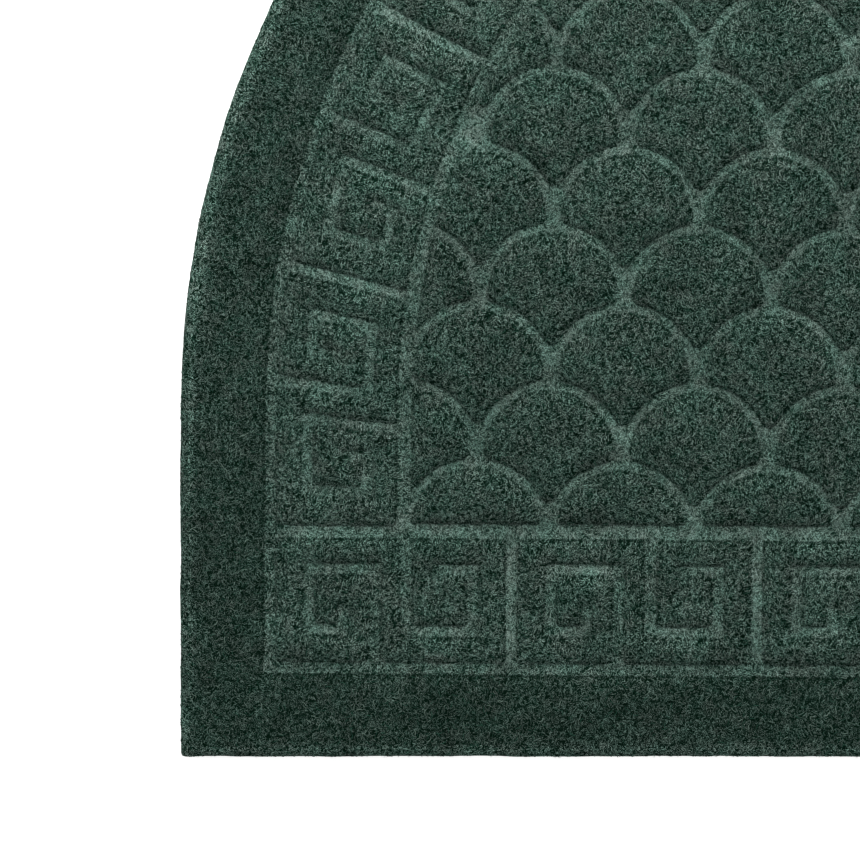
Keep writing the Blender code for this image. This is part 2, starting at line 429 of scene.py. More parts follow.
def partings(radius, column):
    """How far along a frame line each parting of the arch band lies."""
    low = [math.radians(row[column]) for row in ARCH_PARTINGS]
    top_span = math.pi - 2 * low[-1]
    top = [low[-1] + top_span * i / TOP_UNITS for i in range(1, TOP_UNITS)]
    high = [math.pi - angle for angle in reversed(low)]
    below_centre = INNER_LINE_FROM_EDGE - STRAIGHT_SIDE
    around = [radius * angle for angle in low + top + high]
    return [below_centre, *around, math.pi * radius - below_centre]


def arch_band(drawing):
    """The same around the arch. Both frame lines are shared out by their own length."""
    outer = partings(OUTER_LINE_RADIUS, "outer_deg")
    inner = partings(INNER_LINE_RADIUS, "inner_deg")
    width = OUTER_LINE_RADIUS - INNER_LINE_RADIUS
    drawn = []
    for i in range(len(outer) - 1):
        length = (outer[i + 1] - outer[i] + inner[i + 1] - inner[i]) / 2
        for line in drawing(length, width):
            placed = []
            for point in line:
                share = point.x / length
                outside = on_line(OUTER_LINE_RADIUS, outer[i] + share * (outer[i + 1] - outer[i]))
                inside = on_line(INNER_LINE_RADIUS, inner[i] + share * (inner[i + 1] - inner[i]))
                placed.append(outside.lerp(inside, point.y / width))
            drawn.append(placed)
    return drawn


def scale_outline():
    """One fish scale about its head's centre, cut below by the heads of two scales."""
    head = Vector((0, 0))
    below = Vector((SCALE_PITCH / 2, -ROW_PITCH))
    cut_radius = HEAD_RADIUS + SCALE_LINE
    to_head = HEAD_RADIUS - SHOULDER_RADIUS
    to_below = cut_radius + SHOULDER_RADIUS
    reach = below.length
    opening = math.acos((to_head**2 + reach**2 - to_below**2) / (2 * to_head * reach))
    shoulder_angle = angle_from(head, below) + opening
    shoulder = head + to_head * Vector((math.cos(shoulder_angle), math.sin(shoulder_angle)))
    tip_height = math.sqrt((cut_radius + TIP_RADIUS) ** 2 - below.x**2)
    tip = Vector((0, below.y + tip_height))
    from_tip, from_shoulder = angle_from(below, tip), angle_from(below, shoulder)
    right = arc(tip, TIP_RADIUS, -math.pi / 2, from_tip - math.pi, TIP_SIDE_LENGTH)[:-1]
    right += arc(below, cut_radius, from_tip, from_shoulder, SIDE_LENGTH)[:-1]
    right += arc(
        shoulder, SHOULDER_RADIUS, from_shoulder - math.pi, shoulder_angle, SHOULDER_SIDE_LENGTH
    )[:-1]
    right += arc(head, HEAD_RADIUS, shoulder_angle, math.pi / 2, SIDE_LENGTH)
    left = [Vector((-point.x, point.y)) for point in reversed(right[1:-1])]
    return right + left


def scale_lands():
    """The fish scales, clipped by the inner frame line. Slivers are pressed flat."""
    low = INNER_LINE_FROM_EDGE + INNER_LINE / 2 + SCALES_ABOVE_LINE
    field = half_round(INNER_LINE_RADIUS - INNER_LINE / 2, low)
    outline = scale_outline()
    rows = math.ceil((INNER_LINE_RADIUS - FIRST_HEAD_FROM_ARCH_CENTRE) / ROW_PITCH)
    columns = math.ceil(INNER_LINE_RADIUS / SCALE_PITCH) + 1
    lands = []
    for row in range(rows):
        height = CENTRE.y + FIRST_HEAD_FROM_ARCH_CENTRE + row * ROW_PITCH
        shift = SCALES_SHIFT + (SCALE_PITCH / 2 if row % 2 == 0 else 0)
        for column in range(-columns, columns):
            head = Vector((column * SCALE_PITCH + shift, height))
            scale = turned([head + point for point in outline], SCALES_TURN)
            land = thinned(clipped(scale, field), LEAST_SIDE)
            if len(land) > 2 and ring_area(land) > SMALLEST_LAND:
                lands.append(divided(rounded(land), SIDE_LENGTH))
    return lands


def far_from(places, ring):
    """For each place, how far it is from the ring, and whether it is inside."""
    start = np.array(ring)
    end = np.roll(start, -1, axis=0)
    side = end - start
    to_place = places[:, None, :] - start[None]
    share = np.clip((to_place * side).sum(2) / (side**2).sum(1), 0, 1)
    gap = to_place - share[:, :, None] * side
    distance = np.sqrt((gap**2).sum(2)).min(1)
    level = (start[None, :, 1] > places[:, None, 1]) != (end[None, :, 1] > places[:, None, 1])
    rise = np.where(side[:, 1] == 0, 1, side[:, 1])
    crossing = start[:, 0] + (places[:, None, 1] - start[:, 1]) * side[:, 0] / rise
    inside = (level & (places[:, None, 0] < crossing)).sum(1) % 2 == 1
    return distance, inside


def outside_line(places, radius, from_edge):
    """How far outside the middle of this frame line each place is, and how far up from its foot."""
    turn = np.array(Matrix.Rotation(-PLATE_TURN, 2))
    x, y = ((places - np.array(CENTRE)) @ turn.T).T
    low = from_edge - STRAIGHT_SIDE
    below = np.maximum(np.abs(x) - radius, low - y)
    return np.where(y > 0, np.hypot(x, y) - radius, below), y - low


def rough(places, pitch):
    """Smooth noise from -1 to 1 at each place, its lumps about this far apart."""
    return np.array([noise.noise(Vector((x / pitch, y / pitch, 3.0))) for x, y in places])


PLACES_AT_ONCE = 4000


class Pressing:
    """How hard the plate has pressed each place: less along some sides of the key's lines, partly as
    painted light.
    """

    def __init__(self):
        starts, ends, missing = [], [], []
        for band, pressing in ((straight_band, STRAIGHT_PRESS_AND_LIGHT), (arch_band, ARCH_PRESS)):
            for line in band(key_lines):
                line = turned(line, PLATE_TURN)
                starts += line[:-1]
                ends += line[1:]
                missing += [1 - share for share in pressing]
        self.start, self.missing = np.array(starts), np.array(missing)
        self.side = np.array(ends) - self.start

    def at(self, places):
        found = np.ones(len(places))
        for first in range(0, len(places), PLACES_AT_ONCE):
            to_place = places[first : first + PLACES_AT_ONCE, None, :] - self.start[None]
            share = np.clip((to_place * self.side).sum(2) / (self.side**2).sum(1), 0, 1)
            gap = np.sqrt(((to_place - share[:, :, None] * self.side) ** 2).sum(2))
            near = np.interp(gap, KEY_LIFT, (1, 0))
            found[first : first + PLACES_AT_ONCE] = 1 - (near * self.missing).max(1)
        outer, up_outer = outside_line(places, OUTER_LINE_RADIUS, OUTER_LINE_FROM_EDGE)
        inner, up_inner = outside_line(places, INNER_LINE_RADIUS, INNER_LINE_FROM_EDGE)
        found = np.where(inner < -SCALES_INSIDE, SCALES_PRESS, found)
        for away, up, press in ((outer, up_outer, OUTER_PRESS), (inner, up_inner, INNER_PRESS)):
            missing = 1 - np.interp(up, CORNER_FADE, press)
            found = np.minimum(found, 1 - missing * np.interp(np.abs(away), FRAME_LIFT, (1, 0)))
        return found * np.clip(EVEN + UNEVEN * rough(places, UNEVEN_PITCH), 0, 1)


def land_height(distance):
    """The height of a land this far in from its edge."""
    return THICKNESS - SHOULDER_DROP * np.exp(-np.asarray(distance) / SHOULDER_RUN)


def rim_height(distance):
    """The height of the felt this far in from the cut edge."""
    return THICKNESS - RIM_DROP * np.exp(-np.asarray(distance) / RIM_RUN)


def hexagonal_grid(pitch):
    """Places all over the mat's box, each with six neighbours."""
    rows = np.arange(BOTTOM, BOTTOM + DEPTH, pitch * math.sqrt(0.75))
    places = []
    for i, y in enumerate(rows):
        across = np.arange(-ARCH_RADIUS, ARCH_RADIUS, pitch) + (i % 2) * pitch / 2
        places += [(x, y) for x in across]
    return np.array(places)


class Sheet:
    """The points of the top face, with how each is formed, and the sides that its faces keep."""

    def __init__(self):
        self.points, self.heights, self.pressed, self.tones, self.sides = [], [], [], [], []

    def add(self, places, heights, pressed=0.0, tones=1.0):
        count = len(places)
        self.points += [tuple(place) for place in places]
        self.heights += list(np.broadcast_to(heights, count))
        self.pressed += list(np.broadcast_to(pressed, count))
        self.tones += list(np.broadcast_to(tones, count))

    def add_ring(self, ring, heights, pressed=0.0, tones=1.0):
        first = len(self.points)
        self.add(ring, heights, pressed, tones)
        self.sides += [(first + i, first + (i + 1) % len(ring)) for i in range(len(ring))]

    def add_wall(self, ring, outwards, press):
        """A pressed line's wall round this ring. Where the plate pressed less, it is lower. Its tones
        paint shade along it.
        """
        edge = float(land_height(0))
        foot = HALF_PRESSED + (PRESSED - HALF_PRESSED) * press
        towards_floor = np.array(grown(ring, outwards * MM)) - np.array(ring)
        facing = towards_floor[:, 1] / np.hypot(*towards_floor.T)
        # Painted shade: uneven along the wall, and darker where the wall faces the arch
        ragged_painted_shade = RAGGED * rough(ring, RAGGED_PITCH) - PAINTED_WALL_SHADE * facing
        for row in WALL:
            heights = edge + (foot - edge) * row["down"]
            tones = row["tone"] * (1 + row["ragged_painted_shade"] * ragged_painted_shade)
            self.add_ring(grown(ring, outwards * row["out"]), heights, row["pressed"] * press, tones)


def add_rim(sheet, outline):
    """The rim's rings. Where they would cross at a corner, their points are left out."""
    sheet.add_ring(outline, float(rim_height(0)), tones=RIM[0]["tone"])
    for row in RIM[1:]:
        ring = np.array(grown(outline, -row["inset"]))
        distance, inside = far_from(ring, outline)
        ring = ring[inside & (distance > RIM_KEPT_SHARE * row["inset"])]
        along_arch = np.interp(ring[:, 1] - BOTTOM, RIM_LINE_FADE, (0, 1))
        tones = row["tone"] + row["line"] * along_arch
        sheet.add(ring, float(rim_height(row["inset"])), tones=tones)


def drawn_sheet():
    """Every point of the top face: the rim, the walls and shoulders of the lands, and a grid."""
    sheet = Sheet()
    outline = divided(rounded(half_round(ARCH_RADIUS, 0, EDGE_SIDE_LENGTH)), EDGE_SIDE_LENGTH)
    add_rim(sheet, outline)
    border = len(outline)
    pressing = Pressing()

    grid = hexagonal_grid(GRID_PITCH)
    from_edge, on_mat = far_from(grid, outline)
    grid = grid[on_mat & (from_edge > RIM[-1]["inset"] + CLEAR_OF_RIM)]
    clear = np.full(len(grid), DEPTH)
    on_land = np.zeros(len(grid), bool)

    frame_edge = half_round(
        OUTER_LINE_RADIUS + OUTER_LINE / 2, OUTER_LINE_FROM_EDGE - OUTER_LINE / 2
    )
    frame_edge = turned(divided(rounded(frame_edge), SIDE_LENGTH), PLATE_TURN)
    distance, within = far_from(grid, frame_edge)
    clear = np.minimum(clear, distance)
    on_land |= ~within
    sheet.add_wall(frame_edge, -1, pressing.at(np.array(frame_edge)))
    for inset in SHOULDER_INSETS:
        sheet.add(grown(frame_edge, inset), float(land_height(inset)))

    for land in straight_band(key_lands) + arch_band(key_lands) + scale_lands():
        land = turned(land, PLATE_TURN)
        sheet.add_wall(land, 1, pressing.at(np.array(land)))
        for inset in SHOULDER_INSETS:
            shoulder = np.array(grown(land, -inset))
            distance, inside = far_from(shoulder, land)
            kept = inside & (distance > KEPT_SHARE * inset)
            sheet.add(shoulder[kept], land_height(distance[kept]))
        corner = np.array(land)
        near = ((grid > corner.min(0) - NEAR_LAND) & (grid < corner.max(0) + NEAR_LAND)).all(1)
        distance, inside = far_from(grid[near], land)
        clear[near] = np.minimum(clear[near], distance)
        on_land[near] |= inside

    standing = on_land & (clear > SHOULDER_INSETS[-1] + CLEAR_OF_SHOULDER)
    sheet.add(grid[standing], land_height(clear[standing]))
    low = ~on_land & (clear > WALL[-1]["out"] + CLEAR_OF_WALL)
    press = np.maximum(pressing.at(grid[low]), np.interp(clear[low], WIDE_FLOOR, (0, 1)))
    sheet.add(grid[low], HALF_PRESSED + (PRESSED - HALF_PRESSED) * press, press, WALL[-1]["tone"])
    # Painted shade along the outside of the frame lines
    sheet.tones = list(sheet.tones * painted_crease_shade(np.array(sheet.points)))
    return sheet, border


def painted_crease_shade(places):
    """What share of its tone each place keeps beside the frame lines, where a crease of shade is painted.
    """
    tones = np.ones(len(places))
    for radius, from_edge, width in (
        (OUTER_LINE_RADIUS, OUTER_LINE_FROM_EDGE, OUTER_LINE),
        (INNER_LINE_RADIUS, INNER_LINE_FROM_EDGE, INNER_LINE),
    ):
        outside, _ = outside_line(places, radius, from_edge)
        near = np.clip(1 - np.abs(outside - width / 2) / PAINTED_CREASE_WIDTH, 0, 1)
        tones *= 1 - PAINTED_CREASE_SHADE * near
    return tones


# Felt never lies quite as drawn: how far its points are shifted, over what distance
BROAD_WOBBLE = {"size": 0.22 * MM, "pitch": 13 * MM, "seed": 1.0}
FINE_WOBBLE = {"size": 0.12 * MM, "pitch": 4.5 * MM, "seed": 5.0}
LUMPS = {"size": 0.16 * MM, "pitch": 9 * MM, "seed": 9.0}
LUMPS_WHEN_PRESSED = 0.25
# Without a seed of its own, noise_vector gives another shift in every run
WOBBLE_SEED = 4
noise.seed_set(WOBBLE_SEED)


def wobble(place, size, pitch, seed):
    """A smooth uneven shift of a place."""
    shift = noise.noise_vector(Vector((place[0] / pitch, place[1] / pitch, seed)))
    return size * shift.x, size * shift.y, size * shift.z


def zones_of(places):
    """The zone of each place of the top face."""
    outer, _ = outside_line(places, OUTER_LINE_RADIUS, OUTER_LINE_FROM_EDGE)
    inner, _ = outside_line(places, INNER_LINE_RADIUS, INNER_LINE_FROM_EDGE)
    return np.where(inner < 0, SCALES, np.where(outer < OUTER_LINE / 2, KEY_BAND, MARGIN))


# For delaunay_2d_cdt: faces only inside the outline, and points nearer than this count as one
KEEP_INSIDE = 1
SAME_PLACE = 1e-7


def in_order(triangles):
    """The triangles in the same order each run, each begun at its lowest point number."""
    begun = []
    for triangle in triangles:
        lowest = triangle.index(min(triangle))
        begun.append(tuple(triangle[lowest:] + triangle[:lowest]))
    return sorted(begun)


def top_of_felt(sheet, border):
    """The top face: its points, its triangles, and each point's press and tone."""
    points = [Vector(p) for p in sheet.points]
    flat, _, triangles, sources, _, _ = delaunay_2d_cdt(
        points, sheet.sides, [list(range(border))], KEEP_INSIDE, SAME_PLACE
    )
    source = [s[0] if s else -1 for s in sources]
    heights = np.array([*sheet.heights, PRESSED])[source]
    pressed = np.array([*sheet.pressed, 1.0])[source]
    places = np.array(flat)
    tones = np.array([*sheet.tones, 1.0])[source] * np.array(ZONE_TONES)[zones_of(places)]
    # Painted shade: the margin darkens towards the straight edge
    painted_falloff = np.interp(places[:, 1] - BOTTOM, STRAIGHT_MARGIN_SHADE_FADE, (STRAIGHT_MARGIN_PAINTED_SHADE, 1))
    tones *= np.where(zones_of(places) == MARGIN, painted_falloff, 1)
    top = []
    for (x, y), height in zip(places, heights):
        standing = (height - PRESSED) / (THICKNESS - PRESSED)
        broad = wobble((x, y), **BROAD_WOBBLE)
        fine = wobble((x, y), **FINE_WOBBLE)
        lump = wobble((x, y), **LUMPS)[2] * (LUMPS_WHEN_PRESSED + (1 - LUMPS_WHEN_PRESSED) * standing)
        top.append((x + broad[0] + fine[0], y + broad[1] + fine[1], height + lump))
    at = {s: i for i, found in enumerate(sources) for s in found}
    return top, in_order(triangles), pressed, tones, [at[i] for i in range(border)]


CUT_ROUGHNESS = 0.14 * MM
CUT_ROUGH_PITCH = 3 * MM
UNDERSIDE_PITCH = 12 * MM


def add_cut_edge(vertices, faces, edge):
    """Adds the cut edge's levels below this ring of points, and returns the lowest ring."""
    above = edge
    for row in CUT_EDGE:
        first = len(vertices)
        for i, j in enumerate(edge):
            x, y, _ = vertices[j]
            before, after = vertices[edge[i - 1]], vertices[edge[(i + 1) % len(edge)]]
            along = Vector((after[0] - before[0], after[1] - before[1])).normalized()
            spot = Vector((x / CUT_ROUGH_PITCH, y / CUT_ROUGH_PITCH, row["height"] / MM))
            out = row["out"] + CUT_ROUGHNESS * noise.noise(spot)
            vertices.append((x + along.y * out, y - along.x * out, row["height"]))
        level = list(range(first, len(vertices)))
        for i in range(len(edge)):
            j = (i + 1) % len(edge)
            faces.append((above[i], level[i], level[j], above[j]))
        above = level
    return above


def add_underside(vertices, faces, ring):
    """Adds the flat underside inside this ring of points."""
    outline = [Vector(vertices[i][:2]) for i in ring]
    coarse = hexagonal_grid(UNDERSIDE_PITCH)
    distance, inside = far_from(coarse, outline)
    places = outline + [Vector(p) for p in coarse[inside & (distance > UNDERSIDE_PITCH / 2)]]
    count = len(ring)
    sides = [(i, (i + 1) % count) for i in range(count)]
    flat, _, triangles, sources, _, _ = delaunay_2d_cdt(
        places, sides, [list(range(count))], KEEP_INSIDE, SAME_PLACE
    )
    placed = []
    for place, source in zip(flat, sources):
        if source and source[0] < count:
            placed.append(ring[source[0]])
        else:
            placed.append(len(vertices))
            vertices.append((place.x, place.y, 0.0))
    faces += [tuple(placed[i] for i in reversed(t)) for t in in_order(triangles)]


# The layout of the felt's map, as shares of its width: the underside drawn smaller above the
# top, and beside it the cut edge in rows
MAP_MARGIN = 0.003
UNDERSIDE_SHARE = 0.43
UNDERSIDE_LOW = 0.695
EDGE_LEFT = 0.45
EDGE_ROWS = 6
EDGE_ROW = 0.020


def add_map(mesh, zones, border, edge_faces):
    """A UV map of its own: the top fills the width, the underside and the cut edge lie above."""
    width = 2 * ARCH_RADIUS
    corner_face = np.repeat(np.arange(len(mesh.polygons)), [len(p.vertices) for p in mesh.polygons])
    corner_vertex = np.empty(len(mesh.loops), int)
    mesh.loops.foreach_get("vertex_index", corner_vertex)
    place = np.empty(3 * len(mesh.vertices))
    mesh.vertices.foreach_get("co", place)
    place = place.reshape(-1, 3)[corner_vertex]
    zone = zones[corner_face]
    uv = np.empty((len(mesh.loops), 2))
    uv[:, 0] = (place[:, 0] + ARCH_RADIUS) / width
    uv[:, 1] = (place[:, 1] - BOTTOM) / width + MAP_MARGIN
    below = zone == UNDERSIDE
    uv[below] = uv[below] * UNDERSIDE_SHARE + (MAP_MARGIN, UNDERSIDE_LOW)
    on_edge = zone == EDGE
    step = (corner_face[on_edge] - edge_faces) % border
    per_row = math.ceil(border / EDGE_ROWS)
    ahead = corner_is_ahead(corner_face[on_edge])
    uv[on_edge, 0] = EDGE_LEFT + (step % per_row + ahead) * (1 - EDGE_LEFT - MAP_MARGIN) / per_row
    uv[on_edge, 1] = UNDERSIDE_LOW + (step // per_row) * EDGE_ROW + place[on_edge, 2] / width
    layer = mesh.uv_layers.new(name="OFBake")
    layer.data.foreach_set("uv", uv.ravel())


def corner_is_ahead(faces):
    """For the corners of the cut edge's faces, in turn, whether each is on its face's far side."""
    corner = np.arange(len(faces)) % 4
    return (corner >= 2).astype(float)


def add_attribute(mesh, name, kind, domain, values):
    mesh.attributes.new(name, kind, domain).data.foreach_set("value", values)


def felt_mesh():
    sheet, border = drawn_sheet()
    top, faces, pressed, tones, edge = top_of_felt(sheet, border)
    vertices = list(top)
    centres = np.array(top)[np.array(faces)].mean(1)[:, :2]
    zones = zones_of(centres)
    edge_faces = len(faces)
    lowest = add_cut_edge(vertices, faces, edge)
    zones = np.append(zones, np.full(len(faces) - len(zones), EDGE))
    add_underside(vertices, faces, lowest)
    zones = np.append(zones, np.full(len(faces) - len(zones), UNDERSIDE))

    mesh = bpy.data.meshes.new("felt_mat")
    mesh.from_pydata(vertices, [], faces)
    mesh.shade_smooth()
    rest = len(vertices) - len(top)
    add_attribute(mesh, "pressed", "FLOAT", "POINT", np.append(pressed, np.zeros(rest)))
    add_attribute(mesh, "tone", "FLOAT", "POINT", np.append(tones, np.full(rest, ZONE_TONES[EDGE])))
    add_attribute(mesh, "zone", "INT", "FACE", zones)
    add_map(mesh, zones, border, edge_faces)
    return mesh


# The felt's material. Its fibres pale from the gap between them, where shade is painted, to the
# one on top, pale partly as painted sheen, and its dye leans to teal here and to brown there.
# Pressed flat, it is paler and more even, partly as painted sheen.
GAP_SHADE_GREEN = "#06170F"
MIDDLE_GREEN = "#152F25"
FIBRE_GREEN_AND_SHEEN = "#ABC8BD"
SHADE_STOPS = (0.10, 0.50, 1.0)
TEAL_TINT = "#F0FFFB"
BROWN_TINT = "#F9F3F3"
# Pressed floors are paler and more even: partly the flattened fibres, partly painted sheen
PRESSED_CONTRAST = 0.64
PRESSED_LIFT_AND_SHEEN = 0.385
# The loosest felt stands in a thin veil of lit fibre ends: painted light, added to its colour where
# its tone is darkest
VEIL_COLOUR = (0.3, 1.0, 0.6)
PAINTED_VEIL_LIGHT = 0.007
VEIL_TONES = (0.70, 0.35)
BUMP_DEPTH = 0.15 * MM
BUMP_STRENGTH = 0.5
# Layers of drawn fibres, in mm: the pitch of their cells, half their width, half their length,
# and how far apart they lie side by side. They are 0.2 mm wide, coarser than real ones, as
# those of a tuft show as one.
FIBRE_LAYERS = (
    {"pitch": 1.60, "width": 0.098, "reach": 1.05, "apart": 0.48},
    {"pitch": 1.38, "width": 0.098, "reach": 0.90, "apart": 0.48},
    {"pitch": 1.16, "width": 0.095, "reach": 0.76, "apart": 0.47},
    {"pitch": 0.96, "width": 0.095, "reach": 0.63, "apart": 0.47},
)
LAYER_SHIFT = 371.0
CELL_SPREAD = 97.0
MOST_BEND = 1.2
UNEVEN_ENDS = 0.3
DIMMEST_FIBRE = -0.05
SOFT_SIDE = 0.35
SOFT_END = 0.7
# On the cut edge the pattern drifts sideways with the height, so that it leaves no upright streaks
SIDE_DRIFT = (0.6, 0.8, 0.0)
# Lumps of the felt's colour, in mm, and the values that they run between
GRAIN = {"length": 0.33, "detail": 1.0, "shift": 9.0, "values": (-0.30, 0.32)}
TUFT = {"length": 2.6, "detail": 2.0, "shift": 51.0, "values": (0.92, 1.0)}
BLOTCH = {"length": 15.0, "detail": 2.0, "shift": 87.0, "values": (0.88, 1.30)}
HUE = {"length": 6.0, "detail": 1.7, "shift": 151.0, "spread": (0.34, 0.66)}
NOISE_SPREAD = (0.3, 0.7)


def joined(tree, node, sources):
    """Gives a node's inputs their values or links in turn, and returns its first output."""
    for socket, source in zip(node.inputs, sources):
        if isinstance(source, bpy.types.NodeSocket):
            tree.links.new(source, socket)
        else:
            socket.default_value = source
    return node.outputs[0]


def maths(tree, operation, *sources):
    """One step of arithmetic, in a material or in a Geometry Nodes tree."""
    return joined(tree, add(tree, "ShaderNodeMath", operation=operation), sources)


def vectors(tree, operation, *sources):
    """One step of vector arithmetic."""
    return joined(tree, add(tree, "ShaderNodeVectorMath", operation=operation), sources)


def scaled(tree, vector, by):
    """The vector made longer by a number."""
    node = add(tree, "ShaderNodeVectorMath", {0: vector}, operation="SCALE")
    joined(tree, node, [vector])
    if isinstance(by, bpy.types.NodeSocket):
        tree.links.new(by, node.inputs["Scale"])
    else:
        node.inputs["Scale"].default_value = by
    return node.outputs[0]


def joined_vector(tree, x, y, z):
    """A fixed vector."""
    return add(tree, "ShaderNodeCombineXYZ", values={"X": x, "Y": y, "Z": z}).outputs[0]


def ranged(tree, value, low, high, to_low=0.0, to_high=1.0):
    """The value moved from one range into another, and held within it."""
    values = {"From Min": low, "From Max": high, "To Min": to_low, "To Max": to_high}
    return add(tree, "ShaderNodeMapRange", {"Value": value}, values).outputs[0]


def uneven(tree, place, length, detail, shift, values=(0.0, 1.0), spread=NOISE_SPREAD):
    """Smooth noise between two values, its lumps about this many millimetres long."""
    moved = vectors(tree, "ADD", place, (shift, 0.7 * shift, 1.3 * shift))
    settings = {"Scale": 1 / length, "Detail": detail}
    lumps = add(tree, "ShaderNodeTexNoise", {"Vector": moved}, settings).outputs[0]
    return ranged(tree, lumps, *spread, *values)


def drawn_fibres(tree, place, shift, pitch, width, reach, apart):
    """One layer of short bent fibres, a few side by side in each cell of a Voronoi pattern."""
    moved = vectors(tree, "ADD", place, (shift, 0.7 * shift, 0.0))
    scale = {"Scale": 1 / pitch}
    cells = add(tree, "ShaderNodeTexVoronoi", {"Vector": moved}, scale, voronoi_dimensions="2D")
    chance = add(tree, "ShaderNodeSeparateColor", {0: cells.outputs["Color"]}).outputs
    local = vectors(tree, "SUBTRACT", moved, cells.outputs["Position"])
    angle = maths(tree, "MULTIPLY", chance[0], 2 * math.pi)
    links = {"Vector": local, "Angle": angle}
    lying = add(tree, "ShaderNodeVectorRotate", links, rotation_type="Z_AXIS").outputs[0]
    part = add(tree, "ShaderNodeSeparateXYZ", {0: lying}).outputs
    bend = maths(tree, "MULTIPLY_ADD", chance[1], 2 * MOST_BEND / pitch, -MOST_BEND / pitch)
    bow = maths(tree, "MULTIPLY", bend, maths(tree, "MULTIPLY", part[0], part[0]))
    across = maths(tree, "ADD", part[1], bow)
    number = maths(tree, "ROUND", maths(tree, "DIVIDE", across, apart))
    off = maths(tree, "ABSOLUTE", maths(tree, "MULTIPLY_ADD", number, -apart, across))
    own = maths(tree, "MULTIPLY_ADD", chance[2], CELL_SPREAD, number)
    own = add(tree, "ShaderNodeTexWhiteNoise", {"W": own}, noise_dimensions="1D").outputs[0]
    shift = maths(tree, "MULTIPLY_ADD", own, 2 * UNEVEN_ENDS * reach, -UNEVEN_ENDS * reach)
    along = maths(tree, "ABSOLUTE", maths(tree, "ADD", part[0], shift))
    inside = ranged(tree, off, width, SOFT_SIDE * width)
    ends = ranged(tree, along, reach, SOFT_END * reach)
    shown = maths(tree, "MULTIPLY", inside, ends)
    return maths(tree, "MULTIPLY", shown, maths(tree, "ADD", own, DIMMEST_FIBRE))


def felt_material():
    """Polyester felt, dyed dark green: pale bent fibres that cross over dark gaps of painted shade, matt
    all over.
    """
    material, shader = principled(
        "needle-punched felt", "#FFFFFF", 0.95, IOR=1.58, Specular_IOR_Level=0.0
    )
    tree = material.node_tree
    place = scaled(tree, add(tree, "ShaderNodeTexCoord").outputs["Object"], 1 / MM)
    up = add(tree, "ShaderNodeSeparateXYZ", {0: place}).outputs["Z"]
    place = vectors(tree, "ADD", place, scaled(tree, joined_vector(tree, *SIDE_DRIFT), up))

    layers = 0.0
    for number, row in enumerate(FIBRE_LAYERS):
        layer = drawn_fibres(tree, place, LAYER_SHIFT * number, **row)
        layers = maths(tree, "MAXIMUM", layers, layer)
    value = maths(tree, "MULTIPLY", layers, uneven(tree, place, **TUFT))
    value = maths(tree, "ADD", value, uneven(tree, place, **GRAIN))
    flattened = maths(tree, "MULTIPLY_ADD", value, PRESSED_CONTRAST, PRESSED_LIFT_AND_SHEEN)
    pressed = add(tree, "ShaderNodeAttribute", attribute_name="pressed").outputs["Fac"]
    links = {"Factor": pressed, "A": value, "B": flattened}
    value = add(tree, "ShaderNodeMix", links, data_type="FLOAT").outputs[0]

    # From the painted shade of the gaps to the pale fibres with their painted sheen
    ramp = add(tree, "ShaderNodeValToRGB", {"Fac": value})
    stops = ramp.color_ramp.elements
    stops[0].position, stops[0].color = SHADE_STOPS[0], linear(GAP_SHADE_GREEN)
    stops[1].position, stops[1].color = SHADE_STOPS[2], linear(FIBRE_GREEN_AND_SHEEN)
    stops.new(SHADE_STOPS[1]).color = linear(MIDDLE_GREEN)
    dyed = add(tree, "ShaderNodeValToRGB", {"Fac": uneven(tree, place, **HUE)})
    dyed.color_ramp.elements[0].color = linear(TEAL_TINT)
    dyed.color_ramp.elements[1].color = linear(BROWN_TINT)
    colour = vectors(tree, "MULTIPLY", ramp.outputs["Color"], dyed.outputs["Color"])
    # The tone carries the painted shade and light of walls, creases, margin and rim, as well as the
    # felt's own tone
    tone = add(tree, "ShaderNodeAttribute", attribute_name="tone").outputs["Fac"]
    colour = scaled(tree, colour, maths(tree, "MULTIPLY", tone, uneven(tree, place, **BLOTCH)))
    # Painted light: a veil of lit fibre ends over the darkest-toned felt
    painted_veil_light = maths(tree, "MULTIPLY", ranged(tree, tone, *VEIL_TONES), PAINTED_VEIL_LIGHT)
    colour = vectors(tree, "ADD", colour, scaled(tree, joined_vector(tree, *VEIL_COLOUR), painted_veil_light))
    tree.links.new(colour, shader.inputs["Base Color"])
    depths = {"Strength": BUMP_STRENGTH, "Distance": BUMP_DEPTH}
    bump = add(tree, "ShaderNodeBump", {"Height": value}, depths)
    tree.links.new(bump.outputs["Normal"], shader.inputs["Normal"])
    return material


felt = bpy.data.objects.new("felt_mat", felt_mesh())
bpy.context.scene.collection.objects.link(felt)
felt.data.materials.append(felt_material())


# Fibres. Where the needles pulled tufts of polyester out of the felt, strands lie on it in every
# direction, each one bent. The plate has left fewer of them in the pressed lines. A strand is
# drawn coarser than a real fibre, as several that cling together show as one.
STRAND_LENGTH = 2.4 * MM
STRAND_THICKNESS = 0.17 * MM
STRAND_LIFT = 0.06 * MM
STRAND_POINTS = 4
STRAND_SIDES = 3
SHARE_STANDING_OFF = 0.15
STANDING_SLOPE = 0.5
# What differs from strand to strand, as shares of its length, and the dip of a lying one's ends
BEND = (-0.9, 0.9)
BOW_BALANCE = 0.45
SWING = (-0.8, 0.8)
SIZE = (0.55, 1.25)
MIDDLE_THICKNESS = 1.125
MIDDLE_LIFT = 2.0
END_DIP = -0.6
